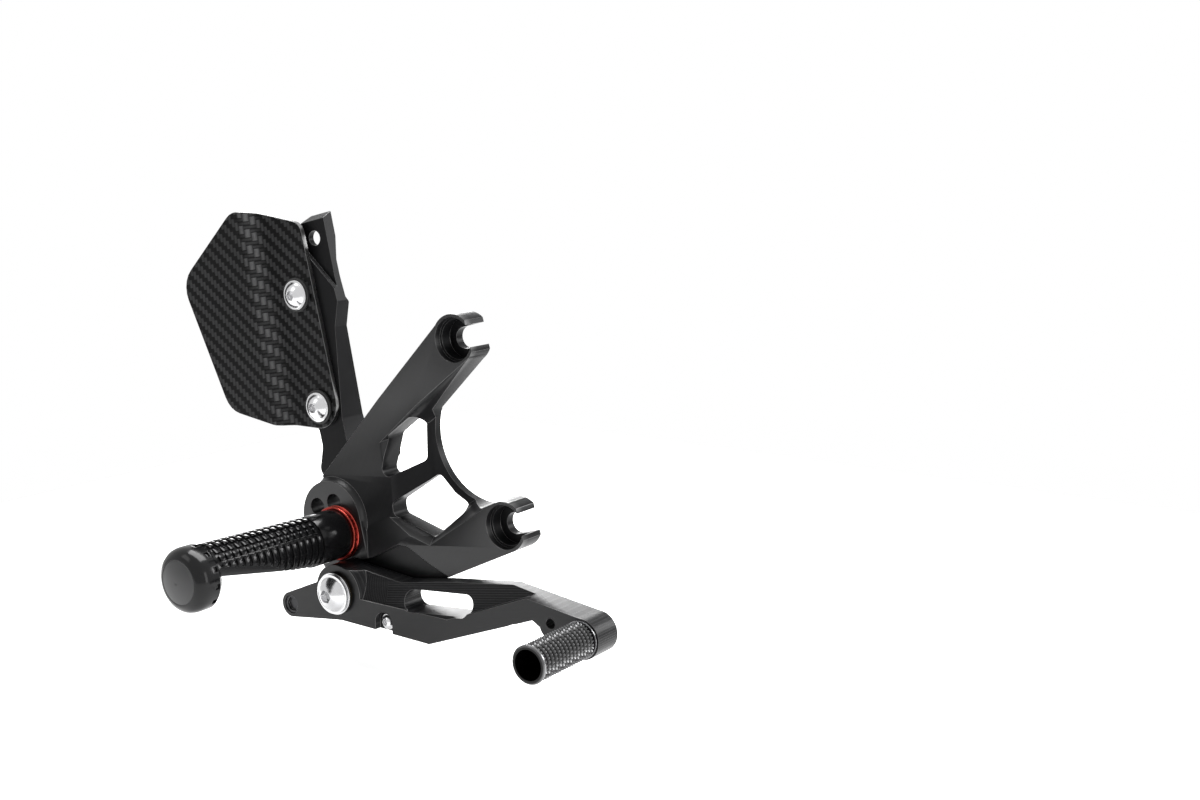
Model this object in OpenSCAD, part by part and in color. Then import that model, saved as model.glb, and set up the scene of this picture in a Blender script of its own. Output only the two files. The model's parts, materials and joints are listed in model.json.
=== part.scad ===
// Rear set footrest, brake side: base plate, fixed peg, heel guard, cylinder bracket and brake lever.
// X points forward, Z up, and the rider's side is -Y. The origin is the lower frame bolt's centre on
// the plate's back face.

/* [Base plate] */
// Thickness of the plate at the hooks
plate_t = 12; // [10:0.5:15]
// Distance between the two frame bolts
hook_gap = 78; // [76:1:80]
// Lean of the line through the frame bolts, backwards from upright
hook_lean = 18.7; // [17:0.1:20]
// Diameter of the shank of a frame bolt
frame_bolt_d = 9; // [8:0.5:10]
// Diameter of the counterbore that takes a frame bolt's head
counterbore_d = 18.4; // [17:0.1:19]
// Wall left round the counterbore
hook_wall = 1.3; // [1:0.1:2]
// Thickness of the hook's floor, under the bolt head
hook_floor = 4; // [3:0.5:5]
// How far a hook reaches in front of its bolt's centre
hook_reach = 8.2; // [7:0.1:9]
// Radius of the arc between the hooks
arc_r = 28.8; // [27:0.1:30]
// Thickness of the web beside the arc
web_t = 3.4; // [3:0.1:5]
// Height of the ear's face, where the lever turns
ear_t = 9; // [8:0.5:10]
// Radius of the ear round the lever's pivot
ear_r = 11.5; // [10:0.1:12.5]
// Radius of the pad round the peg's holes
pad_r = 17; // [16:0.5:19]
// How far the pad stands out of the face round it
pad_step = 3; // [1:0.5:3]
// Slope of the milled banks round the windows
bank = 52; // [40:1:60]
// Radius of the corners of the windows
window_r = 3; // [2:0.5:4]

/* [Peg] */
// Place of the peg's axis, backwards from the origin
peg_back = 90.6; // [89:0.1:92]
// Place of the peg's axis, below the origin
peg_drop = 16; // [15:0.1:17]
// Radius of the peg's collar
collar_r = 11; // [10:0.1:11.5]
// Length of the plain collar
collar_l = 17; // [12:0.5:20]
// Radius of the peg's grip at its outer end
grip_r = 12.4; // [11.5:0.1:13]
// Length of the ribbed grip
grip_l = 56; // [45:1:60]
// Number of ribs round the grip
rib_count = 15; // [8:1:18]
// Depth of the grooves between the ribs
rib_depth = 0.9; // [0.4:0.1:1.2]
// Slope of the flat scoop under the grip
scoop_angle = 10; // [6:0.5:11]
// Turn of the smooth faces that lead from the scoop up to the ribs
scoop_turn = 62; // [50:1:68]
// Radius of the peg's end
head_r = 13.3; // [12.5:0.1:15]
// Length of the peg's end
head_l = 13; // [12:0.5:18]
// Radius of the cap in the peg's end
cap_r = 8.8; // [7:0.1:9.2]
// Thickness of the red spacer ring
ring_t = 3.5; // [3:0.1:6]
// Radius of the red spacer ring
ring_r = 12; // [11.2:0.1:12.2]

/* [Brake lever] */
// Place of the lever's pivot, backwards from the origin
pivot_back = 82.7; // [82:0.1:84]
// Place of the lever's pivot, below the origin
pivot_drop = 39.2; // [38.8:0.1:40]
// Thickness of the lever
lever_t = 13; // [11:0.5:15]
// Radius of the lever's boss
boss_r = 12.2; // [11.5:0.1:12.3]
// Radius of the lever's front end
toe_boss_r = 8.2; // [7.8:0.1:9]
// Radius of the lever's rear end
clevis_boss_r = 5.6; // [5.2:0.1:7]
// Radius of the pivot sleeve
sleeve_r = 5; // [4.6:0.1:5.5]
// Radius of the bushes that are pressed into the lever
bush_r = 7; // [6.2:0.1:7.5]
// Width of the lever's slot
slot_w = 8.8; // [6:0.1:9.5]
// Radius of the clevis pin's shoulder
clevis_shoulder_r = 3.4; // [3.2:0.1:3.6]
// Depth of the lever's pocket at its lower edge
pocket_t = 1; // [0.5:0.1:2]
// Slope of the pocket's floor, back towards the top edge
pocket_angle = 20; // [10:1:22]
// Depth of the notch with the stop screw
notch_t = 3; // [2.5:0.5:6]
// Radius of the toe peg
toe_peg_r = 7.6; // [7:0.1:8]
// Length of the toe peg
toe_peg_l = 34; // [25:1:40]

/* [Cylinder bracket] */
// Thickness of the bracket at its foot
foot_t = 13.5; // [12:0.5:15]
// Thickness of the bracket's top tab
tab_t = 7.6; // [6:0.2:9]
// Distance between the holes for the master cylinder
cylinder_pitch = 50; // [48:0.5:52]
// Diameter of the holes for the master cylinder
cylinder_hole_d = 6.6; // [6.4:0.1:7]

/* [Heel guard] */
// Thickness of the carbon plate
guard_t = 2.2; // [1.5:0.1:3]
// How far the guard's panel stands out from its flange
guard_step = 6.8; // [4:0.2:8]
// Width of the guard's inclined band
guard_band = 8; // [6:0.5:12]

/* [Fasteners] */
// Diameter of the small bolts' shanks
small_bolt_d = 6; // [5:0.5:6]
// Diameter of the peg's and the pivot's bolts
big_bolt_d = 8; // [7.5:0.5:8]
// Radial clearance round a bolt in its hole
bolt_gap = 0.05; // [0.02:0.01:0.1]
// Radial clearance between the sleeve and its bushes
running_gap = 0.04; // [0.02:0.01:0.08]
// Clearance between the lever's ends and what they turn against
side_gap = 0.2; // [0.15:0.05:0.4]

/* [Hidden] */
$fn = 48;
// A cut runs this far past the face that it opens
past = 1;
// Half-spaces are blocks of this size
far = 400;

// Places in the plate's own plane, as [x, z]
lower_bolt = [0, 0];
upper_bolt = hook_gap * [-sin(hook_lean), cos(hook_lean)];
slot_angle = hook_lean - 3;
slot_way = [cos(slot_angle), sin(slot_angle)];
arc_centre = [-13.5, 34.5];
peg_axis = [-peg_back, -peg_drop];
pivot = [-pivot_back, -pivot_drop];
pad_centre = peg_axis + [-4.9, 5];
// The peg's hole, and above it the two that it can be moved to
hole_along = [9.9, 3.2];
hole_up = [-3.1, 12.6];
peg_holes = [peg_axis, peg_axis + hole_up, peg_axis + hole_up - hole_along];
bracket_bolts_at = [[-92, 12], [-83.5, 21]];
guard_bolts_at = [[-121.4, 85], [-110.1, 36]];
cylinder_hole = [-114.1, 110];
clevis = pivot + [-28, -10.4];
toe_axis = pivot + [128.1, 4.3];
spare_toe_hole = toe_axis + [-14.6, 3.4];
stop_at = pivot + [26.5, -8.7];
slot_half = 13.5 * [cos(5), sin(5)];
slot_at = pivot + [54.2, 4.4];

// Levels, counted outwards from the plate's back face
hook_r = counterbore_d / 2 + hook_wall;
small_bolt_r = small_bolt_d / 2;
big_bolt_r = big_bolt_d / 2;
bush_flange_t = 0.8;
lever_back = ear_t + side_gap + bush_flange_t;
lever_front = lever_back + lever_t;
sleeve_end = lever_front + bush_flange_t + side_gap;
// The cylinder's seats lie this far behind the plate's back face
cylinder_seat = 5;
pivot_washer_t = 1.2;
peg_washer_t = 1.6;
peg_bore_l = 34;
// Depths of the seats for the toe peg's bolt and the clevis pin's head
toe_floor_t = 6;
clevis_seat = 3;
// The stop screw and the notch round it
stop_screw_r = 2;
stop_head_r = 3.4;
stop_notch_r = 4.7;
spare_hole_r = 2.1;
peg_start = plate_t + ring_t;
grip_start = peg_start + collar_l;
head_start = grip_start + grip_l;
peg_end = head_start + head_l;

// Tools for shapes

// Sets a plane drawing upright, from the level "from" to the level "to" on the rider's side
module upright(from, to) {
    translate([0, -from, 0])
        rotate([90, 0, 0])
            linear_extrude(to - from)
                children();
}

// Turns children made along +Z so that they point out to the rider, at a place [x, z]
module outwards(at, level) {
    translate([at[0], -level, at[1]])
        rotate([90, 0, 0])
            children();
}

// A round bar along Y between two levels
module bar(at, r, from, to) {
    outwards(at, from) cylinder(r = r, h = to - from);
}

// Two discs joined by their outer tangents, which start just inside the discs so that all is one body
module link(a, ra, b, rb) {
    inside = 0.995;
    along = atan2(b[1] - a[1], b[0] - a[0]);
    lean = acos((ra - rb) / norm(b - a));
    left = inside * [cos(along + lean), sin(along + lean)];
    right = inside * [cos(along - lean), sin(along - lean)];
    translate(a) circle(r = ra);
    translate(b) circle(r = rb);
    polygon([a + ra * right, b + rb * right, b + rb * left, a + ra * left]);
}

// Points of one rounded corner, where each corner is [x, z, radius]
function corner(before, at, after) =
    let (
        p = [at[0], at[1]],
        u = [before[0], before[1]] - p,
        v = [after[0], after[1]] - p,
        uu = u / norm(u),
        vv = v / norm(v),
        half = acos(uu * vv) / 2,
        middle = (uu + vv) / norm(uu + vv),
        centre = p + middle * at[2] / sin(half),
        start = p + uu * at[2] / tan(half) - centre,
        end = p + vv * at[2] / tan(half) - centre,
        turn = sign(start[0] * end[1] - start[1] * end[0]) * (180 - 2 * half),
        steps = max(2, ceil(abs(turn) / 15))
    )
    at[2] == 0 ? [p] :
    [for (i = [0 : steps])
        let (a = turn * i / steps)
        centre + [start[0] * cos(a) - start[1] * sin(a), start[0] * sin(a) + start[1] * cos(a)]];

// A polygon with rounded corners
module rounded(corners) {
    n = len(corners);
    polygon([for (i = [0 : n - 1]) each corner(corners[(i + n - 1) % n], corners[i], corners[(i + 1) % n])]);
}

// Everything on the rider's side of a plane. The plane holds the line that passes through "at" with
// this heading, and to the line's right it sinks by the angle "drop".
module before_slope(at, level, heading, drop) {
    translate([at[0], -level, at[1]])
        rotate([0, -heading, 0])
            rotate([drop, 0, 0])
                translate([-far / 2, -far, -far / 2])
                    cube([far, far, far]);
}

// Everything to the right of a milled bank, whose top edge is a line on the plate's front face
module beside_bank(at, heading) {
    translate([at[0], -plate_t, at[1]])
        rotate([0, -heading, 0])
            rotate([bank - 90, 0, 0])
                translate([-far / 2, -far / 2, -far])
                    cube(far);
}

// Base plate

module plate_outline() {
    link(pad_centre, pad_r, pivot, ear_r);
    link(pivot, ear_r, lower_bolt, hook_r);
    translate(upper_bolt) circle(r = hook_r);
    // The upper arm
    polygon([
        upper_bolt + [-8.4, 6],
        [-103, 7],
        [-80, 0],
        [-44, 40],
        upper_bolt + hook_r * [0.78, -0.62]
    ]);
    difference() {
        polygon([[-103, 7], pivot + [0, 5], lower_bolt + [-2, -8], lower_bolt + [3, 9.5], [-30, 55]]);
        translate(arc_centre) circle(r = arc_r, $fn = 96);
    }
}

module upper_window() {
    rounded([
        [-62.7, 30, window_r],
        [-46.6, 42.3, window_r],
        [-46.6, 20.4, window_r],
        [-69, 8.8, window_r]
    ]);
}

module lower_window() {
    rounded([
        [-40.3, 15.4, window_r],
        [-32, 8, 4],
        [-22.6, 3.4, window_r],
        [-38.7, -11, window_r],
        [-61.6, -5.2, window_r],
        [-62.6, 0.6, window_r]
    ]);
}

// The milled hollow round the windows: one sloping floor and a bank on each of three sides
module web_hollow() {
    intersection() {
        before_slope([-72, 0], plate_t, 90, atan((plate_t - web_t) / 27));
        beside_bank([-63.3, 31], 38);
        beside_bank([-54.4, -10.3], 166.7);
        beside_bank([-39.5, -14], 214.7);
        upright(web_t, plate_t + past) translate([-80, -40]) square([100, 120]);
    }
}

// From a ridge across the upper arm the face sinks to the pad, and rises again to the lower arm
module pad_surround() {
    difference() {
        intersection() {
            before_slope([-58, 45], plate_t, 0, 4.6);
            before_slope([-66, -21], plate_t, 212, 13);
            upright(plate_t - pad_step, plate_t + past) translate([-130, -60]) square([120, 120]);
        }
        outwards(pad_centre, 0) cylinder(r = pad_r, h = plate_t + 2 * past);
        outwards(pad_centre, plate_t - pad_step - past)
            cylinder(r1 = pad_r + 1.5 * (1 + past / pad_step), r2 = pad_r, h = pad_step + past);
        upright(0, plate_t + 2 * past) link(pad_centre, pad_r, pivot, ear_r);
    }
}

// One hook: counterbore in two steps and a slot that is open to the front
module hook_cuts(at) {
    bar(at, counterbore_d / 2, hook_floor + 5, plate_t + past);
    bar(at, counterbore_d / 2 - 1.1, hook_floor, plate_t + past);
    upright(-past, plate_t + past)
        link(at, frame_bolt_d / 2 + bolt_gap, at + 2 * hook_r * slot_way, frame_bolt_d / 2 + bolt_gap);
    upright(-past, plate_t + past)
        translate(at)
            rotate(slot_angle)
                translate([hook_reach, -2 * hook_r])
                    square([2 * hook_r, 4 * hook_r]);
}

module base_plate() {
    color([0.1, 0.1, 0.11])
        difference() {
            upright(0, plate_t) plate_outline();
            web_hollow();
            pad_surround();
            upright(-past, plate_t + past) upper_window();
            upright(-past, plate_t + past) lower_window();
            hook_cuts(upper_bolt);
            hook_cuts(lower_bolt);
            // The ear's face lies lower, where the lever passes
            upright(ear_t, plate_t + past)
                rounded([
                    [-71, -24, 4], [-57, -16.4, 3], [-52, -16.2, 3], [-39.6, -21.9, 3],
                    [-27.9, -26.2, 0], [-27.9, -70, 0], [-120, -70, 0], [-120, -37.5, 0], [-97.5, -33, 6]
                ]);
            bar(pivot, boss_r + 1, ear_t, plate_t + past);
            for (at = peg_holes) bar(at, big_bolt_r + bolt_gap, -past, plate_t + past);
            bar(pivot, big_bolt_r + bolt_gap, -past, plate_t);
            for (at = bracket_bolts_at) bar(at, small_bolt_r + bolt_gap, -past, plate_t - 3);
        }
}

// Cylinder bracket

module bracket_front() {
    rounded([
        [-119.6, 123, 0], [-109.6, 124, 0], [-102.7, 93.9, 2], [-99.4, 83.3, 1.5],
        [-101.3, 72.1, 1.5], [-98.8, 31.9, 4], [-96, 20, 2], [-85.5, 25.6, 3], [-77.3, 27, 3],
        [-77, 16, 3], [-84, 9, 3], [-95, 6, 3], [-104, 3.5, 3], [-113.6, 3.8, 4],
        [-111.1, 17.5, 6], [-113.3, 26, 6], [-120, 33, 5], [-131.5, 84, 6], [-130, 95, 6]
    ]);
}

// The bracket's thickness seen from the front of the bike, as [level behind the plate, height]
module bracket_side() {
    polygon([
        [0, -10], [foot_t, -10], [foot_t, 30], [tab_t - 0.2, 72], [tab_t - 0.2, 82.5], [tab_t - 1.9, 85],
        [tab_t - 2.2, 101], [tab_t, 111], [tab_t, 130], [0, 130]
    ]);
}

module cylinder_bracket() {
    color([0.12, 0.12, 0.13])
        difference() {
            intersection() {
                upright(-foot_t, 0) bracket_front();
                rotate([0, 0, 90])
                    rotate([90, 0, 0])
                        translate([0, 0, -200])
                            linear_extrude(400)
                                bracket_side();
            }
            // The tab's top slopes up to the back
            translate([-118.6, 0, 115.7])
                rotate([0, -13, 0])
                    rotate([26.6, 0, 0])
                        translate([-30, -10, 0])
                            cube([80, 40, 20]);
            // The tab's face lies lower, behind a sloping edge
            translate([-105.6, 0, 93])
                rotate([0, 41, 0])
                    translate([-30, -past, 0])
                        cube([60, past + 2.2, 60]);
            // Both holes are faced to one level at the back, where the cylinder sits
            for (i = [0, 1]) {
                at = cylinder_hole - [0, i * cylinder_pitch];
                bar(at, cylinder_hole_d / 2, -foot_t - past, past);
                bar(at, cylinder_hole_d / 2 + 3, -foot_t - past, -cylinder_seat);
            }
            for (at = guard_bolts_at) bar(at, small_bolt_r + bolt_gap, -foot_t - past, past);
            for (at = bracket_bolts_at) {
                bar(at, small_bolt_r + bolt_gap, -foot_t - past, past);
                bar(at, small_bolt_r + 2.3, -foot_t - past, -foot_t + small_bolt_d);
            }
        }
}

// Bolts

// A cap screw along +Z, with its head above the seat at z = 0 and a hexagon socket
module cap_screw(r, head_r, head_h, shank_l) {
    difference() {
        union() {
            cylinder(r = head_r, h = head_h);
            translate([0, 0, -shank_l]) cylinder(r = r, h = shank_l + 0.1);
        }
        translate([0, 0, head_h / 2]) cylinder(r = r * 0.95, h = head_h, $fn = 6);
    }
}

// A domed screw with a thin flange and a hexagon socket
module dome_screw(r, flange_r, head_h, shank_l, socket_r) {
    rim = head_h * 0.2;
    crown_r = flange_r * 0.86;
    ball_r = (crown_r * crown_r + pow(head_h - rim, 2)) / (2 * (head_h - rim));
    difference() {
        union() {
            cylinder(r = flange_r, h = rim);
            intersection() {
                translate([0, 0, head_h - ball_r]) sphere(r = ball_r);
                translate([0, 0, rim / 2]) cylinder(r = crown_r, h = head_h);
            }
            translate([0, 0, -shank_l]) cylinder(r = r, h = shank_l + rim / 2);
        }
        translate([0, 0, head_h * 0.45]) cylinder(r = socket_r, h = head_h, $fn = 6);
    }
}

module bracket_bolts() {
    shank_l = foot_t - small_bolt_d + plate_t - 4;
    color([0.2, 0.2, 0.21])
        for (at = bracket_bolts_at)
            translate([at[0], foot_t - small_bolt_d, at[1]])
                rotate([-90, 0, 0])
                    cap_screw(small_bolt_r, small_bolt_r + 2, small_bolt_d, shank_l);
}

// Heel guard

// Section across the bend: a flange on the bracket, an inclined band and a panel that stands out
module guard_section() {
    bends = 6;
    top = [for (i = [0 : bends])
        let (t = i / bends)
        [-guard_band * (t - 0.5), -guard_t - guard_step * (1 - cos(180 * t)) / 2]];
    bottom = [for (i = [bends : -1 : 0])
        let (t = i / bends)
        [-guard_band * (t - 0.5), -guard_step * (1 - cos(180 * t)) / 2]];
    polygon(concat(
        [[60, 0], [60, -guard_t]],
        top,
        [[-90, -guard_t - guard_step], [-90, -guard_step]],
        bottom
    ));
}

module guard_outline() {
    rounded([
        [-153.8, 121.2, 10], [-188.7, 86.9, 12], [-160.1, 30.1, 12], [-128.9, 25.9, 30],
        [-96.8, 26.4, 11.5], [-118.6, 116.6, 6]
    ]);
}

module heel_guard() {
    color([0.07, 0.07, 0.08])
        difference() {
            intersection() {
                upright(-past, guard_t + guard_step + past) guard_outline();
                // The bend leans back at its top, about as the flange's bolts do
                translate([-138.3, 0, 73.9])
                    rotate([0, -11.6, 0])
                        translate([0, 0, -90])
                            linear_extrude(180)
                                guard_section();
            }
            for (at = guard_bolts_at) bar(at, small_bolt_r + bolt_gap, -past, guard_t + past);
        }
}

module guard_washers() {
    color([0.05, 0.05, 0.05])
        for (at = guard_bolts_at)
            difference() {
                bar(at, small_bolt_r + 4.6, guard_t, guard_t + 1);
                bar(at, small_bolt_r + bolt_gap, guard_t - past, guard_t + 2);
            }
}

module guard_bolts() {
    color([0.75, 0.75, 0.76])
        for (at = guard_bolts_at)
            outwards(at, guard_t + 1)
                dome_screw(small_bolt_r, small_bolt_r + 3.6, 4, guard_t + 5, 2.3);
}

// Foot peg

// Half section of the peg, as [radius, distance from its root]
function rib_points() = [for (i = [0 : rib_count - 1])
    let (
        pitch = grip_l / rib_count,
        z = collar_l + pitch * i,
        r = collar_r + (grip_r - collar_r) * (i + 0.5) / rib_count
    )
    each [
        [r - rib_depth, z],
        [r - rib_depth, z + pitch * 0.25],
        [r, z + pitch * 0.38],
        [r, z + pitch * 0.88]
    ]];

// A cut that starts at the collar, "depth" from the peg's axis, rises outwards by "angle" and ends in
// the neck before the peg's end
module scoop(turn, depth, angle) {
    width = 4 * head_r;
    translate([peg_axis[0], -grip_start - 1, peg_axis[1]])
        rotate([0, turn, 0])
            rotate([90, 0, -90])
                translate([0, 0, -width / 2])
                    linear_extrude(width)
                        polygon([
                            [0, -depth], [0, -2 * head_r], [grip_l, -2 * head_r],
                            [grip_l, grip_l * tan(angle) - depth]
                        ]);
}

module foot_peg() {
    color([0.08, 0.08, 0.09])
        difference() {
            outwards(peg_axis, peg_start)
                rotate_extrude()
                    polygon(concat(
                        [[0, 0], [collar_r - 0.4, 0], [collar_r, 0.4], [collar_r, collar_l]],
                        rib_points(),
                        [
                            [grip_r - 1, collar_l + grip_l],
                            [grip_r - 1, collar_l + grip_l + 1.4],
                            [head_r - 0.8, collar_l + grip_l + 2.2],
                            [head_r, collar_l + grip_l + 3.4],
                            [head_r, collar_l + grip_l + head_l - 5],
                            [head_r - 0.4, collar_l + grip_l + head_l - 3],
                            [head_r - 1.5, collar_l + grip_l + head_l - 1.3],
                            [head_r - 3.1, collar_l + grip_l + head_l - 0.3],
                            [head_r - 4, collar_l + grip_l + head_l],
                            [0, collar_l + grip_l + head_l]
                        ]
                    ));
            // The underside is scooped smooth: a flat, and a face at each side of it that dies out
            scoop(0, collar_r - 2, scoop_angle);
            for (side = [-1, 1]) scoop(side * scoop_turn, collar_r + 2.4, scoop_angle - 3.5);
            bar(peg_axis, big_bolt_r + bolt_gap, peg_start - past, peg_start + peg_bore_l);
            bar(peg_axis, cap_r + bolt_gap, peg_end - 2.5, peg_end + past);
        }
}

module peg_end_cap() {
    dome = 1.2;
    ball_r = (cap_r * cap_r + dome * dome) / (2 * dome);
    color([0.2, 0.2, 0.2])
        outwards(peg_axis, peg_end - 2.5)
            intersection() {
                cylinder(r = cap_r, h = 2.5 + dome);
                translate([0, 0, 2.5 + dome - ball_r]) sphere(r = ball_r, $fn = 96);
            }
}

module peg_spacer_ring() {
    color([0.75, 0.08, 0.05])
        outwards(peg_axis, plate_t)
            rotate_extrude()
                polygon([
                    [big_bolt_r + bolt_gap, 0], [ring_r - 0.3, 0], [ring_r, 0.3], [ring_r, ring_t * 0.3],
                    [ring_r - 1.2, ring_t * 0.42], [ring_r - 1.2, ring_t * 0.55], [ring_r, ring_t * 0.67],
                    [ring_r, ring_t - 0.3], [ring_r - 0.3, ring_t], [big_bolt_r + bolt_gap, ring_t]
                ]);
}

module peg_washer() {
    color([0.7, 0.7, 0.71])
        difference() {
            bar(peg_axis, big_bolt_r + 3.8, -peg_washer_t, 0);
            bar(peg_axis, big_bolt_r + bolt_gap, -peg_washer_t - past, past);
        }
}

module peg_bolt() {
    shank_l = peg_washer_t + peg_start + peg_bore_l - 9;
    color([0.7, 0.7, 0.71])
        translate([peg_axis[0], peg_washer_t, peg_axis[1]])
            rotate([-90, 0, 0])
                cap_screw(big_bolt_r, big_bolt_r + 2.5, big_bolt_d, shank_l);
}

// Brake lever

module lever_outline() {
    difference() {
        union() {
            translate(pivot) circle(r = boss_r);
            link(pivot + [-1, -2.8], 9.5, clevis, clevis_boss_r);
            polygon([
                pivot + [-2, 0.3 - boss_r], pivot + [22, -12.4], pivot + [51.4, -13.1],
                pivot + [104.7, 7.4], pivot + [116.7, 0.5], toe_axis + [1, toe_boss_r - 0.2],
                pivot + [89.7, 17.4], pivot + [54.7, 12.8], pivot + [32.7, 9], pivot + [4, boss_r - 0.8]
            ]);
            link(toe_axis + [-13.5, 3], 6.6, toe_axis, toe_boss_r);
        }
        translate(pivot + [100.2, -11.3]) circle(r = 16);
    }
}

module brake_lever() {
    color([0.1, 0.1, 0.11])
        difference() {
            upright(lever_back, lever_front) lever_outline();
            // The pocket slopes back towards the top edge and stops round the boss
            difference() {
                translate([pivot[0], -lever_front + pocket_t, pivot[1] - 1])
                    rotate([-pocket_angle, 0, 0])
                        translate([0, -far, 0])
                            cube([110, far, far]);
                outwards(pivot, lever_back) cylinder(r1 = boss_r + 8, r2 = boss_r + 1, h = lever_t + 0.01);
                // Front face beyond the pocket
                upright(lever_back, lever_front + past)
                    polygon([
                        pivot + [50.7, -3.5], pivot + [60.7, -0.9], pivot + [104.7, 17.1],
                        pivot + [138.7, 29.5], pivot + [138.7, -30], pivot + [48.7, -30]
                    ]);
            }
            // Slot
            upright(lever_back - past, lever_front + past)
                link(slot_at - slot_half, slot_w / 2, slot_at + slot_half, slot_w / 2);
            bar(pivot, bush_r, lever_back - past, lever_front + past);
            bar(toe_axis, small_bolt_r + bolt_gap, lever_back + 2, lever_front + past);
            bar(spare_toe_hole, spare_hole_r, lever_back - past, lever_front + past);
            bar(clevis, clevis_shoulder_r + bolt_gap, lever_back - past, lever_front + past);
            bar(clevis, small_bolt_r + 1.1, lever_front - clevis_seat, lever_front + past);
            // Notch with the stop screw
            upright(lever_front - notch_t, lever_front + past)
                link(stop_at, stop_notch_r, stop_at - [0, boss_r], stop_notch_r);
            bar(stop_at, stop_screw_r + bolt_gap, lever_back - past, lever_front);
        }
}

// A flanged bush, with its flange at z = 0 and its body above
module flanged_bush() {
    body_l = lever_t / 2 - 1;
    difference() {
        union() {
            translate([0, 0, -bush_flange_t]) cylinder(r = bush_r + 1, h = bush_flange_t);
            translate([0, 0, -0.1]) cylinder(r = bush_r - 0.01, h = body_l);
        }
        translate([0, 0, -bush_flange_t - past])
            cylinder(r = sleeve_r + running_gap, h = body_l + bush_flange_t + 2 * past);
    }
}

module lever_bush_inner() {
    color([0.65, 0.48, 0.22]) outwards(pivot, lever_back) flanged_bush();
}

module lever_bush_outer() {
    color([0.65, 0.48, 0.22])
        outwards(pivot, lever_front)
            rotate([180, 0, 0])
                flanged_bush();
}

module pivot_sleeve() {
    color([0.6, 0.6, 0.62])
        difference() {
            bar(pivot, sleeve_r, ear_t, sleeve_end);
            bar(pivot, big_bolt_r + bolt_gap, ear_t - past, sleeve_end + past);
        }
}

module pivot_washer() {
    color([0.7, 0.7, 0.71])
        difference() {
            bar(pivot, boss_r - 3, sleeve_end, sleeve_end + pivot_washer_t);
            bar(pivot, big_bolt_r + bolt_gap, sleeve_end - past, sleeve_end + 2 * past);
        }
}

module pivot_bolt() {
    color([0.75, 0.75, 0.76])
        outwards(pivot, sleeve_end + pivot_washer_t)
            dome_screw(big_bolt_r, boss_r - 3.6, 5.5, sleeve_end + pivot_washer_t - 1, 3);
}

// Toe peg and the lever's screws

module toe_peg() {
    color([0.12, 0.12, 0.12])
        difference() {
            bar(toe_axis, toe_peg_r, lever_front, lever_front + toe_peg_l);
            bar(toe_axis, toe_peg_r - 1.6, lever_front + toe_floor_t, lever_front + toe_peg_l + past);
            bar(toe_axis, small_bolt_r + bolt_gap, lever_front - past, lever_front + toe_floor_t + past);
        }
}

module toe_peg_bolt() {
    color([0.3, 0.3, 0.31])
        outwards(toe_axis, lever_front + toe_floor_t)
            cap_screw(small_bolt_r, small_bolt_r + 2, small_bolt_d, toe_floor_t + lever_t - 3);
}

// The pin has a shoulder that fills the lever, and a thinner end behind it for the clevis
module clevis_pin() {
    seat = lever_front - clevis_seat;
    color([0.15, 0.15, 0.15]) {
        outwards(clevis, seat)
            cap_screw(clevis_shoulder_r, small_bolt_r + 1, 2.4, seat - lever_back);
        bar(clevis, small_bolt_r, lever_back - 8, lever_back + 0.1);
    }
}

module lever_stop_screw() {
    color([0.75, 0.75, 0.76])
        outwards(stop_at, lever_front - notch_t)
            dome_screw(stop_screw_r, stop_head_r, 2.6, lever_t - notch_t - 1, 1.3);
}

base_plate();
cylinder_bracket();
bracket_bolts();
heel_guard();
guard_washers();
guard_bolts();
foot_peg();
peg_end_cap();
peg_spacer_ring();
peg_washer();
peg_bolt();
brake_lever();
lever_bush_inner();
lever_bush_outer();
pivot_sleeve();
pivot_washer();
pivot_bolt();
toe_peg();
toe_peg_bolt();
clevis_pin();
lever_stop_screw();
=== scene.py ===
import json
import math

import bpy
from mathutils import Matrix, Vector


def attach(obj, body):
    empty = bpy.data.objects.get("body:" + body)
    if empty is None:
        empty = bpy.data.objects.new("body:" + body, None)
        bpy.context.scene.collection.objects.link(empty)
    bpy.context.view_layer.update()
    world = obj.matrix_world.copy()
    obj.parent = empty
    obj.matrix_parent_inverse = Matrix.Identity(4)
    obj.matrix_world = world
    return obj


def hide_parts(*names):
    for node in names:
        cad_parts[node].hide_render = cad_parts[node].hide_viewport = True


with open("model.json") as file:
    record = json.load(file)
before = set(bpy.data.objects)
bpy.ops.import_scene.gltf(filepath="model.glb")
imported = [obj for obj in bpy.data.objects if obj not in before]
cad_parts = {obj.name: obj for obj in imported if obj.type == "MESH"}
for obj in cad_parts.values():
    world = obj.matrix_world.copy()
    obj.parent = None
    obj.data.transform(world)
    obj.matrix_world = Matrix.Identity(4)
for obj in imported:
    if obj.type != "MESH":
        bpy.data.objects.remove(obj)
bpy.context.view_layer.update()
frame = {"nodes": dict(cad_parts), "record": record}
nodes = frame["nodes"]
record = frame["record"]
mm = 0.001
print("frame loaded")

bodies = record["behaviour"]["bodies"]
bodyOf = {node: body for body, group in bodies.items() for node in group}
slotOf = {part["node"]: part["material_slot"] for part in record["subparts"]}


# A socket with arithmetic, so that a material reads as a formula
class Value:
    def __init__(self, graph, socket):
        self.graph = graph
        self.socket = socket

    def __add__(self, other):
        return self.graph.math("ADD", self, other)

    def __radd__(self, other):
        return self.graph.math("ADD", other, self)

    def __sub__(self, other):
        return self.graph.math("SUBTRACT", self, other)

    def __rsub__(self, other):
        return self.graph.math("SUBTRACT", other, self)

    def __mul__(self, other):
        return self.graph.math("MULTIPLY", self, other)

    def __rmul__(self, other):
        return self.graph.math("MULTIPLY", other, self)

    def __truediv__(self, other):
        return self.graph.math("DIVIDE", self, other)

    def __rtruediv__(self, other):
        return self.graph.math("DIVIDE", other, self)

    def __lt__(self, other):
        return self.graph.math("LESS_THAN", self, other)

    def __gt__(self, other):
        return self.graph.math("GREATER_THAN", self, other)


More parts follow.
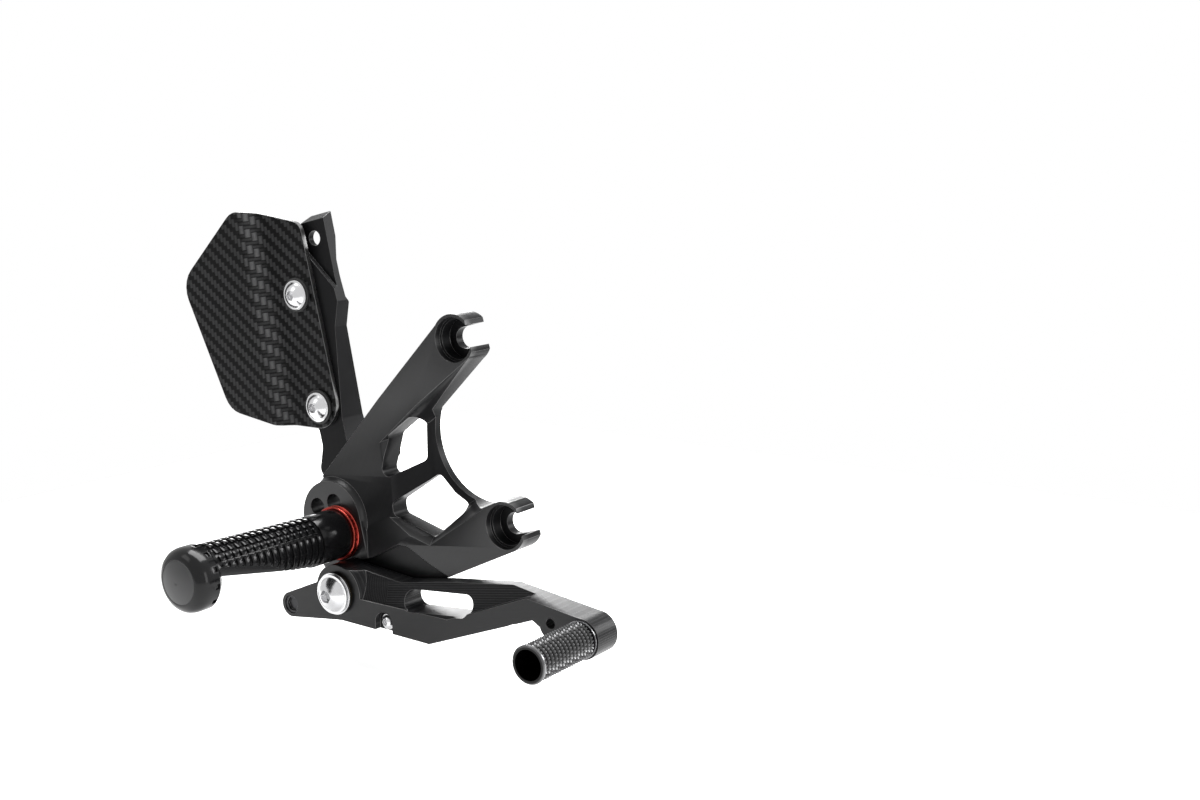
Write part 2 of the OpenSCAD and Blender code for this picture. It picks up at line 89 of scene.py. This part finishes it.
# One material's node tree, with its shader and the object's own coordinates
class Graph:
    def __init__(self, name):
        self.material = bpy.data.materials.new(name)
        self.material.use_nodes = True
        self.tree = self.material.node_tree
        self.shader = self.tree.nodes["Principled BSDF"]
        self.place = self.node("ShaderNodeTexCoord", output="Object")
        split = self.node("ShaderNodeSeparateXYZ", [self.place])
        self.x, self.y, self.z = [Value(self, axis) for axis in split.socket.node.outputs]

    # Makes a node with its settings, and joins or sets its inputs by number or by name
    def node(self, kind, inputs=(), settings=None, output=0):
        made = self.tree.nodes.new(kind)
        for key, setting in (settings or {}).items():
            setattr(made, key, setting)
        pairs = inputs.items() if isinstance(inputs, dict) else enumerate(inputs)
        for key, given in pairs:
            self.join(given, made.inputs[key])
        return Value(self, made.outputs[output])

    def join(self, given, socket):
        if isinstance(given, Value):
            self.tree.links.new(given.socket, socket)
        else:
            socket.default_value = given

    def math(self, operation, *inputs):
        return self.node("ShaderNodeMath", inputs, {"operation": operation})

    def clamped(self, value):
        return self.node(
            "ShaderNodeMath", [value, 1.0], {"operation": "MULTIPLY", "use_clamp": True})

    def noise(self, scale, detail, place=None):
        inputs = {"Vector": place or self.place, "Scale": scale, "Detail": detail}
        return self.node("ShaderNodeTexNoise", inputs)

    def vector(self, x, y, z):
        return self.node("ShaderNodeCombineXYZ", [x, y, z])

    # From the first colour to the second as the value goes from 0 to 1
    def blend(self, amount, first, second):
        first, second = [end if isinstance(end, Value) else (*end, 1.0) for end in (first, second)]
        inputs = {"Factor": amount, 6: first, 7: second}
        return self.node("ShaderNodeMix", inputs, {"data_type": "RGBA"}, 2)

    # How far a place is from an axis along Y
    def reach(self, centre):
        x, z = self.x - centre[0], self.z - centre[1]
        return self.math("SQRT", x * x + z * z)

    # Sets or joins the shader's own sockets, with a bump where there is one
    def finish(self, bump=None, depth=0.0, **inputs):
        for key, given in inputs.items():
            self.join(given, self.shader.inputs[key.replace("_", " ")])
        if bump is not None:
            height = {"Height": bump, "Distance": depth, "Strength": 1.0}
            self.join(self.node("ShaderNodeBump", height), self.shader.inputs["Normal"])
        return self.material


# Axes along Y, each given by its x and z, as the CAD has them
pegCentre = (-90.6 * mm, -16.0 * mm)
pivotCentre = (-82.7 * mm, -39.2 * mm)
toeCentre = (45.4 * mm, -34.9 * mm)

pocketLook = {
    "pitch": 0.95 * mm, "crest": 0.55, "height": 2.5,
    "bossReach": 27.0 * mm, "edgeAngle": 9.0, "top": -22.6 * mm,
    "bright": (0.035, 0.035, 0.036), "strength": 0.5,
}


# The cutter's marks in the lever's pocket: round the boss, and along the top edge beyond it
def cutterMarks(g):
    radius = g.reach(pivotCentre)
    angle = math.radians(pocketLook["edgeAngle"])
    x, z = g.x - pivotCentre[0], g.z - pivotCentre[1]
    across = z * math.cos(angle) - x * math.sin(angle)
    nearBoss = radius < pocketLook["bossReach"]
    way = radius * nearBoss + across * (1.0 - nearBoss)
    wave = g.math("SINE", way * (2.0 * math.pi / pocketLook["pitch"]))
    return (wave > pocketLook["crest"]) * (g.y > pocketLook["top"])


anodisedLook = {
    "dark": (0.006, 0.006, 0.0065), "light": (0.014, 0.014, 0.015), "metallic": 0.1,
    "lines": 900.0, "linesAlongY": 60.0, "clouds": 38.0, "cloudShare": 0.6,
    "rough": 0.33, "roughByLine": 0.12, "roughByCloud": 0.1, "coatRough": 0.3,
    "grain": 2600.0, "grainHeight": 0.35, "depth": 0.02 * mm,
}


# Black anodised and milled, with fine lines that run at an angle in the plate's own plane.
# The sheen rises from the first level to the second, so that the hollows lack it.
def anodised(name, angle, shine, sheen=None, lines=1.0, pocket=False):
    look = anodisedLook
    g = Graph(name)
    turn = math.radians(angle)
    across = g.x * math.sin(turn) - g.z * math.cos(turn)
    stretched = g.vector(across * look["lines"], g.y * look["linesAlongY"], 0.0)
    line = g.noise(1.0, detail=3.0, place=stretched)
    cloud = g.noise(look["clouds"], detail=4.0)
    grain = g.noise(look["grain"], detail=2.0)
    shade = cloud * look["cloudShare"] + line * (1.0 - look["cloudShare"])
    base = g.blend(shade, look["dark"], look["light"])
    byLine = (line - 0.5) * look["roughByLine"]
    byCloud = (cloud - 0.5) * look["roughByCloud"]
    height = line * lines + grain * look["grainHeight"]
    if pocket:
        marks = cutterMarks(g)
        base = g.blend(marks * pocketLook["strength"], base, pocketLook["bright"])
        height = height + marks * pocketLook["height"]
    if sheen:
        deep, front, amount = sheen
        rise = g.clamped((deep - g.y) / (deep - front))
        g.finish(Coat_Weight=rise * amount, Coat_Roughness=look["coatRough"])
    return g.finish(
        height, look["depth"], Base_Color=base, Metallic=look["metallic"],
        Roughness=look["rough"] + byLine + byCloud, Specular_IOR_Level=shine,
    )


edgeLook = {
    "mottles": 240.0, "darker": 0.6, "lighter": 1.3,
    "metallic": 0.85, "rough": 0.22, "roughByMottle": 0.14,
}


# The broken edges' look, mottled between a darker and a lighter tone; on the black parts and the
# guard it is far lighter than their faces, a painted highlight
def brokenEdge(name, tone):
    g = Graph(name)
    mottle = g.noise(edgeLook["mottles"], detail=3.0)
    darker, lighter = [(tone * edgeLook[side],) * 3 for side in ("darker", "lighter")]
    return g.finish(
        Base_Color=g.blend(mottle, darker, lighter), Metallic=edgeLook["metallic"],
        Roughness=edgeLook["rough"] + mottle * edgeLook["roughByMottle"],
    )


turnedLook = {"ringsAlongY": 0.6, "smears": 190.0, "roughBySmear": 0.12, "depth": 0.008 * mm}


# Turned metal: faint rings round an axis along Y
def turned(name, tone, rough, centre, rings=5200.0, metallic=1.0, spread=0.12, shine=0.5):
    g = Graph(name)
    stretched = g.vector(g.reach(centre) * rings, g.y * rings * turnedLook["ringsAlongY"], 0.0)
    ring = g.noise(1.0, detail=2.0, place=stretched)
    smear = g.noise(turnedLook["smears"], detail=3.0)
    darker, lighter = [tuple(c * side for c in tone) for side in (1.0 - spread, 1.0 + spread)]
    return g.finish(
        ring, turnedLook["depth"], Metallic=metallic, Specular_IOR_Level=shine,
        Base_Color=g.blend(ring * 0.5 + smear * 0.5, darker, lighter),
        Roughness=rough + (smear - 0.5) * turnedLook["roughBySmear"],
    )


knurlLook = {
    "root": 6.5 * mm, "tip": 7.6 * mm, "dark": (0.008, 0.008, 0.008), "bright": (0.24, 0.24, 0.245),
    "metallic": 0.8, "rough": 0.2, "roughBySmear": 0.12, "smears": 190.0, "brightBySmear": 0.6,
}


# The toe peg is black between the teeth and brighter towards their tips: painted shade in the
# grooves and a painted highlight on the tips
def knurlPaintedShade(name):
    look = knurlLook
    g = Graph(name)
    height = g.clamped((g.reach(toeCentre) - look["root"]) / (look["tip"] - look["root"]))
    smear = g.noise(look["smears"], detail=3.0)
    bright = height * height * (1.0 - 0.5 * look["brightBySmear"] + smear * look["brightBySmear"])
    return g.finish(
        Base_Color=g.blend(bright, look["dark"], look["bright"]), Metallic=look["metallic"],
        Roughness=look["rough"] + (smear - 0.5) * look["roughBySmear"],
    )


carbonLook = {
    "tow": 1.8 * mm, "angle": 10.0, "warp": (0.046, 0.046, 0.047), "weft": (0.001, 0.001, 0.0011),
    "crownShade": (0.6, 0.4), "fibreShade": (0.7, 0.5), "patchShade": (0.75, 0.5),
    "fibresAcross": 5.0, "fibresAlong": 1.2, "patches": 30.0,
    "bend": {"x": -138.3 * mm, "z": 73.9 * mm, "lean": 11.6},
    "paintedStreak": 3.0 * mm, "fibreStreak": (0.5, 1.0), "towStreak": (0.35, 0.65),
    "pale": (0.16, 0.16, 0.162),
    "rough": 0.36, "roughByTow": 0.12, "shine": 0.07, "coat": 0.04, "coatRough": 0.1,
    "depth": 0.006 * mm,
}


# Twill weave: a tow passes over two and under two, and each row starts one tow further on.
# A pair of numbers in the look is the least level of something and how much it rises.
def carbon(name):
    look = carbonLook
    g = Graph(name)

    def level(key, value):
        least, rise = look[key]
        return least + value * rise

    turn = math.radians(look["angle"])
    u = (g.x * math.cos(turn) + g.z * math.sin(turn)) / look["tow"]
    v = (g.z * math.cos(turn) - g.x * math.sin(turn)) / look["tow"]
    column, row = g.math("FLOOR", u), g.math("FLOOR", v)
    over = g.math("FLOORED_MODULO", column + row, 4.0) < 1.5
    acrossU = g.math("SINE", (u - column) * math.pi)
    acrossV = g.math("SINE", (v - row) * math.pi)
    crown = over * acrossU + (1.0 - over) * acrossV
    stretched = g.vector(u * look["fibresAcross"], v * look["fibresAlong"], 0.0)
    fibre = g.noise(1.0, detail=2.0, place=stretched)
    patch = g.noise(look["patches"], detail=2.0)
    weave = over * level("crownShade", crown) * level("fibreShade", fibre)
    weave = weave * level("patchShade", patch)
    # A painted highlight along the bend: a pale streak, broken by the weave
    bend = look["bend"]
    lean = math.radians(bend["lean"])
    across = (g.x - bend["x"]) * math.cos(lean) + (g.z - bend["z"]) * math.sin(lean)
    away = across / look["paintedStreak"]
    paintedStreak = g.math("EXPONENT", 0.0 - away * away) * crown
    paintedStreak = paintedStreak * level("fibreStreak", fibre) * level("towStreak", over)
    lit = g.blend(weave, look["weft"], look["warp"])
    return g.finish(
        crown, look["depth"], Base_Color=g.blend(paintedStreak, lit, look["pale"]), Metallic=0.0,
        Roughness=look["rough"] + over * look["roughByTow"], Specular_IOR_Level=look["shine"],
        Coat_Weight=look["coat"], Coat_Roughness=look["coatRough"],
    )


mouldedLook = {
    "grain": 1500.0, "depth": 0.02 * mm, "clouds": 60.0, "spread": 0.15, "roughByCloud": 0.1,
}


# Matt black or dark grey moulding
def moulded(name, tone, rough):
    g = Graph(name)
    grain = g.noise(mouldedLook["grain"], detail=3.0)
    cloud = g.noise(mouldedLook["clouds"], detail=2.0)
    spread = mouldedLook["spread"]
    darker, lighter = [tuple(c * side for c in tone) for side in (1.0 - spread, 1.0 + spread)]
    return g.finish(
        grain, mouldedLook["depth"], Base_Color=g.blend(cloud, darker, lighter), Metallic=0.0,
        Roughness=rough + (cloud - 0.5) * mouldedLook["roughByCloud"],
    )


# A turned or moulded look has its colour and its roughness. Peg and scoop are dark and glossy
# without metal's colour, and their rings are coarse.
pegFinish = {"centre": pegCentre, "rings": 240.0, "metallic": 0.0, "spread": 0.2}
redFinish = {"centre": pegCentre, "rings": 3600.0, "metallic": 0.85}
plateSheen = (-8.0 * mm, -12.0 * mm, 0.6)
leverSheen = (-22.7 * mm, -23.5 * mm, 0.5)
looks = {
    "plate": anodised("anodisedPlate", angle=62.0, shine=0.08, sheen=plateSheen),
    "bracket": anodised("anodisedBracket", angle=100.0, shine=0.08),
    "lever": anodised("anodisedLever", 12.0, 0.16, leverSheen, lines=2.0, pocket=True),
    # The black parts' edges, in a light metal tone: a painted highlight
    "edge": brokenEdge("brokenEdge", 0.11),
    "peg": turned("anodisedPeg", (0.006, 0.006, 0.0065), 0.16, shine=0.24, **pegFinish),
    "red": turned("redAnodised", (0.17, 0.008, 0.005), 0.2, **redFinish),
    # The ring's edges, a lighter red than its faces: a painted highlight
    "redEdgeHighlight": turned("redEdgeHighlight", (0.34, 0.05, 0.035), 0.22, **redFinish),
    "steel": turned("stainlessSteel", (0.6, 0.6, 0.61), 0.2, pivotCentre),
    "steelEdge": brokenEdge("steelEdge", 0.6),
    # The guard's edge tone, much paler than the weave: a painted highlight
    "resinEdgeHighlight": brokenEdge("resinEdgeHighlight", 0.16),
    # A darker, duller copy of the peg's look for its underside: painted shade
    "scoop": turned("anodisedScoopShaded", (0.005, 0.005, 0.0055), 0.24, shine=0.08, **pegFinish),
    "dark": turned("blackOxide", (0.035, 0.035, 0.037), 0.34, pivotCentre, 2600.0, 0.8),
    "bronze": turned("bearingBronze", (0.55, 0.36, 0.15), 0.35, pivotCentre),
    "nylon": moulded("blackNylon", (0.012, 0.012, 0.012), 0.55),
    "cap": moulded("satinCap", (0.022, 0.022, 0.023), 0.44),
    "carbon": carbon("carbonTwill"),
    "toe": knurlPaintedShade("anodisedToe"),
}
slotLook = {
    "black_anodised": "plate", "dark_steel": "dark", "carbon": "carbon", "black_washer": "nylon",
    "stainless": "steel", "cap": "cap", "red_anodised": "red", "bronze": "bronze",
}
nodeLook = {
    "cylinder_bracket": "bracket", "brake_lever": "lever", "foot_peg": "peg", "toe_peg": "toe",
}
for node, part in nodes.items():
    part.data.materials.clear()
    part.data.materials.append(looks[nodeLook.get(node, slotLook[slotOf[node]])])
print("materials made")


def only(piece):
    bpy.ops.object.select_all(action="DESELECT")
    piece.select_set(True)
    bpy.context.view_layer.objects.active = piece


# Runs mesh operators on one piece, on the faces that "pick" chooses or on everything
def shaped(piece, work, pick=None):
    only(piece)
    bpy.ops.object.mode_set(mode="EDIT")
    bpy.ops.mesh.select_mode(type="FACE")
    bpy.ops.mesh.select_all(action="DESELECT" if pick else "SELECT")
    if pick:
        bpy.ops.object.mode_set(mode="OBJECT")
        for face in piece.data.polygons:
            face.select = pick(face)
        bpy.ops.object.mode_set(mode="EDIT")
    work()
    bpy.ops.object.mode_set(mode="OBJECT")


def facedOut(piece):
    shaped(piece, lambda: bpy.ops.mesh.normals_make_consistent(inside=False))


def applied(piece, kind, **settings):
    only(piece)
    modifier = piece.modifiers.new(kind.title(), kind)
    for key, setting in settings.items():
        setattr(modifier, key, setting)
    bpy.ops.object.modifier_apply(modifier=modifier.name)


# Breaks the edges sharper than an angle. The new faces take the look in the given slot.
def broken(piece, width, segments=1, angle=32.0, lookSlot=1):
    applied(
        piece, "BEVEL", width=width * mm, segments=segments, material=lookSlot,
        limit_method="ANGLE", angle_limit=math.radians(angle),
        miter_outer="MITER_ARC", use_clamp_overlap=True, loop_slide=True,
    )


def smoothed(piece, angle):
    only(piece)
    bpy.ops.object.shade_smooth_by_angle(angle=math.radians(angle))


def placed(piece, node):
    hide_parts(node)
    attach(piece, bodyOf[node])


# Node, the piece's name, the width of its broken edges in millimetres, and their look
deburring = {
    "base_plate": ("platePiece", 0.5, "edge"),
    "cylinder_bracket": ("bracketPiece", 0.45, "edge"),
    "brake_lever": ("leverPiece", 0.45, "edge"),
    "heel_guard": ("guardPiece", 0.35, "resinEdgeHighlight"),
    "peg_spacer_ring": ("ringPiece", 0.25, "redEdgeHighlight"),
    "pivot_bolt": ("pivotScrewPiece", 0.18, "steelEdge"),
    "pivot_washer": ("pivotWasherPiece", 0.2, "steelEdge"),
    "guard_bolts": ("guardScrewPieces", 0.15, "steelEdge"),
    "clevis_pin": ("clevisScrewPiece", 0.15, "edge"),
    "lever_stop_screw": ("stopScrewPiece", 0.12, "steelEdge"),
}
cadMesh = {"merge": 0.002 * mm, "flat": 0.6, "smooth": 28.0}


# A CAD shape as one merged mesh whose sharp edges are broken as a deburred part's are
def deburred(node, name, width, edge):
    mesh = nodes[node].data.copy()
    mesh.name = name
    piece = bpy.data.objects.new(name, mesh)
    bpy.context.scene.collection.objects.link(piece)
    mesh.materials.append(looks[edge])

    def merge():
        bpy.ops.mesh.remove_doubles(threshold=cadMesh["merge"])
        bpy.ops.mesh.dissolve_limited(angle_limit=math.radians(cadMesh["flat"]))
        bpy.ops.mesh.normals_make_consistent(inside=False)

    shaped(piece, merge)
    broken(piece, width)
    smoothed(piece, cadMesh["smooth"])
    placed(piece, node)
    return piece


pieces = {node: deburred(node, *settings) for node, settings in deburring.items()}

# The guard's cut edge shows resin and no weave, and its pale tone is a painted highlight along the
# edge
guardEdgeSlope = 0.3
for face in pieces["heel_guard"].data.polygons:
    if abs(face.normal.y) < guardEdgeSlope:
        face.material_index = 1
print("edges broken")


# A filled circle that a turned piece is drawn up from, left in edit mode
def disc(name, sides, radius):
    bpy.ops.object.select_all(action="DESELECT")
    bpy.ops.mesh.primitive_circle_add(vertices=sides, radius=radius * mm, fill_type="NGON")
    piece = bpy.context.object
    piece.name = piece.data.name = name
    only(piece)
    bpy.ops.object.mode_set(mode="EDIT")
    bpy.ops.mesh.select_all(action="SELECT")
    return piece


def raised(rise):
    bpy.ops.mesh.extrude_region_move(TRANSFORM_OT_translate={"value": (0.0, 0.0, rise * mm)})


# Draws the selected face up through a profile. Each row has a level, a radius and a turn.
def drawnUp(rows, radius):
    level = 0.0
    for newLevel, newRadius, turn in rows:
        raised(newLevel - level)
        level = newLevel
        centre = (0.0, 0.0, level * mm)
        scale = newRadius / radius
        bpy.ops.transform.resize(value=(scale, scale, 1.0), center_override=centre)
        if turn:
            bpy.ops.transform.rotate(value=turn, orient_axis="Z", center_override=centre)
        radius = newRadius


# Sinks the selected end face into a bore and goes back to object mode
def bored(wall, depth):
    bpy.ops.mesh.inset(thickness=wall * mm)
    raised(-depth)
    bpy.ops.object.mode_set(mode="OBJECT")


# A piece made upright with Y as its top is laid along -Y with Z as its top
def laid(piece, centre, start):
    for v in piece.data.vertices:
        x, y, z = v.co
        v.co = (centre[0] - x, -start * mm - z, centre[1] + y)


# In millimetres. The head's shape is given by levels after the grip and depths under headR,
# and each scoop by its turn round the peg, its depth at the collar and its slope.
pegLook = {
    "start": 15.5, "collar": 17.0, "grip": 56.0, "collarR": 11.0, "gripR": 12.4, "headR": 13.3,
    "chamfer": 0.4, "shoulder": 0.02, "capR": 8.85, "capSeat": 2.5,
    "sides": 60, "rings": 15, "ribStart": 0.3, "ribEnd": 0.86, "ribHeight": 0.9,
    "blockSides": 3, "blocksEnd": 3.5,
    "headShape": (
        (0.0, 1.9), (1.4, 1.9), (2.2, 0.8), (3.4, 0.0), (6.0, 0.0), (8.0, 0.0),
        (10.0, 0.4), (11.7, 1.5), (12.7, 3.1), (13.0, 4.0),
    ),
    "dimples": {"from": 3.6, "to": 5.9, "every": 5, "sides": 2, "inset": 0.3, "depth": 0.8},
    "scoops": ((0.0, 9.0, 10.0), (62.0, 13.4, 6.5), (-62.0, 13.4, 6.5)),
    "scoopStart": 1.0, "cutter": (40.0, 20.0),
    "bevel": {"width": 0.26, "segments": 2, "angle": 40.0, "lookSlot": 0}, "smooth": 30.0,
}


# The turned peg's rows, and the levels between which it has ribs
def pegProfile():
    p = pegLook
    rows = [(p["chamfer"], p["collarR"], 0.0), (p["collar"], p["collarR"], 0.0)]
    ribs = []
    pitch = p["grip"] / p["rings"]
    for i in range(p["rings"]):
        level = p["collar"] + pitch * i
        top = p["collarR"] + (p["gripR"] - p["collarR"]) * (i + 0.5) / p["rings"]
        root = top - p["ribHeight"]
        if i == 0:
            rows.append((level + p["shoulder"], root, 0.0))
        low, high = level + pitch * p["ribStart"], level + pitch * p["ribEnd"]
        rows += [(low, root, 0.0), (high, root, 0.0)]
        ribs.append((low, high))
    end = p["collar"] + p["grip"]
    rows += [(end + level, p["headR"] - depth, 0.0) for level, depth in p["headShape"]]
    return rows, ribs


# The peg's look in slot 0, and the look of its scoops in slot 1
def pegLooks(piece):
    for look in ("peg", "scoop"):
        piece.data.materials.append(looks[look])


# Cuts one smooth, leaning face into the peg's underside
def scooped(peg, turn, depth, slope):
    wide, high = pegLook["cutter"]
    long = pegLook["grip"]
    bpy.ops.object.select_all(action="DESELECT")
    bpy.ops.mesh.primitive_cube_add(size=1.0)
    cutter = bpy.context.object
    pegLooks(cutter)
    for face in cutter.data.polygons:
        face.material_index = 1

    def sized():
        size = (wide * mm, high * mm, long * mm)
        bpy.ops.transform.resize(value=size, center_override=(0.0, 0.0, 0.0))
        bpy.ops.transform.translate(value=(0.0, -0.5 * high * mm, 0.5 * long * mm))

    shaped(cutter, sized)
    lean = Matrix.Identity(4)
    lean[1][2] = math.tan(math.radians(slope))
    sunk = Matrix.Translation((0.0, -depth * mm, 0.0))
    swung = Matrix.Rotation(math.radians(turn), 4, "Z")
    start = Matrix.Translation((0.0, 0.0, (pegLook["collar"] + pegLook["scoopStart"]) * mm))
    cutter.data.transform(start @ swung @ sunk @ lean)
    applied(peg, "BOOLEAN", operation="DIFFERENCE", object=cutter, solver="EXACT")
    bpy.data.objects.remove(cutter)


def makePeg():
    p = pegLook
    rows, ribs = pegProfile()
    firstRadius = p["collarR"] - p["chamfer"]
    peg = disc("footPegPiece", p["sides"], firstRadius)
    drawnUp(rows, firstRadius)
    bored(rows[-1][1] - p["capR"], p["capSeat"])
    pegLooks(peg)

    def sector(face):
        turn = math.degrees(math.atan2(face.center.y, face.center.x)) % 360.0
        return int(turn // (360.0 / p["sides"]))

    # The ribs are cut into blocks on the upper side, and run on below
    def inRib(face):
        level = face.center.z / mm
        upper = face.center.y / mm > p["blocksEnd"]
        gap = upper and sector(face) % p["blockSides"] == 0
        return any(low < level < high for low, high in ribs) and not gap

    def pushed(height):
        shift = {"value": height * mm}
        bpy.ops.mesh.extrude_region_shrink_fatten(TRANSFORM_OT_shrink_fatten=shift)

    shaped(peg, lambda: pushed(p["ribHeight"]), inRib)

    # Dimples round the head, where the neck's groove ends
    dimples = p["dimples"]

    def inDimple(face):
        level = face.center.z / mm - p["collar"] - p["grip"]
        marked = sector(face) % dimples["every"] < dimples["sides"]
        return marked and dimples["from"] < level < dimples["to"]

    def dimple():
        bpy.ops.mesh.inset(thickness=dimples["inset"] * mm)
        pushed(-dimples["depth"])

    shaped(peg, dimple, inDimple)

    # The underside is smooth: a flat, and a face at each side of it that dies out
    for scoop in p["scoops"]:
        scooped(peg, *scoop)
    laid(peg, pegCentre, p["start"])
    facedOut(peg)
    broken(peg, **p["bevel"])
    smoothed(peg, p["smooth"])
    placed(peg, "foot_peg")


makePeg()
print("peg made")

# In millimetres. The shares are those of a knurl row that go down, lie at the bottom and come up.
# A face gets a tooth when its radius is within "band" of the land's and it leans less than "slope".
toeLook = {
    "start": 23.0, "length": 34.0, "r": 7.6, "wall": 1.6, "floor": 6.0, "lip": 0.5, "rim": 1.0,
    "sides": 32, "rows": 14, "groove": 0.25, "tooth": 0.85, "shares": (0.08, 0.06, 0.08),
    "band": 0.1, "slope": 0.2, "smooth": 18.0,
}


# The toe peg: an open tube whose side is knurled, each row half a tooth round from the last
def makeToePeg():
    p = toeLook
    r, lip, rim = p["r"], p["lip"], p["rim"]
    land = r - p["tooth"]
    root = land - p["groove"]
    pitch = (p["length"] - 2.0 * rim) / p["rows"]
    down, bottom, up = [share * pitch for share in p["shares"]]
    halfTooth = math.pi / p["sides"]
    rows = [(lip, r, 0.0), (rim, r, 0.0)]
    for i in range(p["rows"]):
        level = rim + pitch * i
        rows += [
            (level + down, root, 0.0), (level + down + bottom, root, halfTooth),
            (level + down + bottom + up, land, 0.0), (level + pitch, land, 0.0),
        ]
    end = p["length"]
    rows += [(end - rim, r, 0.0), (end - lip, r, 0.0), (end, r - lip, 0.0)]
    toe = disc("toePegPiece", p["sides"], r - lip)
    drawnUp(rows, r - lip)
    bored(p["wall"] - lip, end - p["floor"])

    def inLand(face):
        out = math.hypot(face.center.x, face.center.y) / mm
        outer = abs(out - land) < p["band"] and abs(face.normal.z) < p["slope"]
        return outer and rim < face.center.z / mm < end - rim

    shaped(toe, lambda: bpy.ops.mesh.poke(offset=p["tooth"] * mm), inLand)
    laid(toe, toeCentre, p["start"])
    toe.data.materials.append(looks["toe"])
    facedOut(toe)
    smoothed(toe, p["smooth"])
    placed(toe, "toe_peg")


makeToePeg()
print("toe peg made")

# The camera, found from the photograph
cameraLook = {
    "place": (362.5 * mm, -476.5 * mm, 160.5 * mm), "ahead": (-0.553, 0.8132, -0.1815),
    "lens": 45.4, "sensor": 36.0, "near": 10.0 * mm,
}


# Puts an object in the scene and points it along a direction
def aimed(thing, place, direction):
    bpy.context.scene.collection.objects.link(thing)
    thing.location = place
    thing.rotation_euler = Vector(direction).to_track_quat("-Z", "Y").to_euler()


camera = bpy.data.objects.new("camera", bpy.data.cameras.new("camera"))
aimed(camera, cameraLook["place"], cameraLook["ahead"])
camera.data.lens = cameraLook["lens"]
camera.data.sensor_width = cameraLook["sensor"]
camera.data.clip_start = cameraLook["near"]
bpy.context.scene.camera = camera

# Soft boxes, in metres and watts: place, aim, size and power
lights = {
    "keyLight": ((-0.5, -0.8, 0.8), (-0.05, 0.0, 0.02), (0.5, 0.5), 1.4),
    "sideLight": ((0.95, -0.1, 0.2), (-0.02, 0.0, 0.0), (0.25, 0.6), 1.6),
    "topLight": ((-0.1, 0.2, 0.95), (-0.05, 0.0, 0.0), (0.9, 0.6), 18.0),
    "backRightLight": ((0.48, 0.78, 0.34), (-0.05, 0.0, 0.0), (0.6, 0.3), 4.5),
    "backLeftLight": ((-0.62, 0.8, 0.24), (-0.08, 0.0, 0.0), (0.6, 0.3), 4.5),
}
for name, (place, aim, size, power) in lights.items():
    lamp = bpy.data.lights.new(name, "AREA")
    lamp.shape = "RECTANGLE"
    lamp.size, lamp.size_y = size
    lamp.energy = power
    aimed(bpy.data.objects.new(name, lamp), place, Vector(aim) - Vector(place))

# White to the camera and in reflections, and dim as a light
worldLook = {"seen": 1.0, "surround": 0.06}
world = bpy.data.worlds.new("surround")
bpy.context.scene.world = world
world.use_nodes = True
worldNodes, worldLinks = world.node_tree.nodes, world.node_tree.links
rays = worldNodes.new("ShaderNodeLightPath")
seen = rays.outputs["Is Camera Ray"]
for kind in ("Is Glossy Ray", "Is Transmission Ray"):
    either = worldNodes.new("ShaderNodeMath")
    either.operation = "MAXIMUM"
    worldLinks.new(seen, either.inputs[0])
    worldLinks.new(rays.outputs[kind], either.inputs[1])
    seen = either.outputs[0]
level = worldNodes.new("ShaderNodeMapRange")
level.inputs["To Min"].default_value = worldLook["surround"]
level.inputs["To Max"].default_value = worldLook["seen"]
worldLinks.new(seen, level.inputs["Value"])
background = worldNodes["Background"]
background.inputs["Color"].default_value = (1.0, 1.0, 1.0, 1.0)
worldLinks.new(level.outputs["Result"], background.inputs["Strength"])

# A pale floor, just under the place that the lever's end can swing down to
floorLook = {
    "level": -71.0 * mm, "size": 0.9, "tone": 0.9, "spread": 0.02, "clouds": 40.0,
    "rough": 0.9, "glow": 0.62,
}
bpy.ops.object.select_all(action="DESELECT")
bpy.ops.mesh.primitive_plane_add(size=floorLook["size"], location=(0.0, 0.0, floorLook["level"]))
floor = bpy.context.object
floor.name = "floor"
paper = Graph("paper")
tones = [(floorLook["tone"] + more,) * 3 for more in (0.0, floorLook["spread"])]
floor.data.materials.append(paper.finish(
    Base_Color=paper.blend(paper.noise(floorLook["clouds"], detail=2.0), *tones),
    Roughness=floorLook["rough"],
    Emission_Color=(1.0, 1.0, 1.0, 1.0), Emission_Strength=floorLook["glow"],
))

bpy.context.scene.view_settings.view_transform = "Standard"
print("camera and lights set")
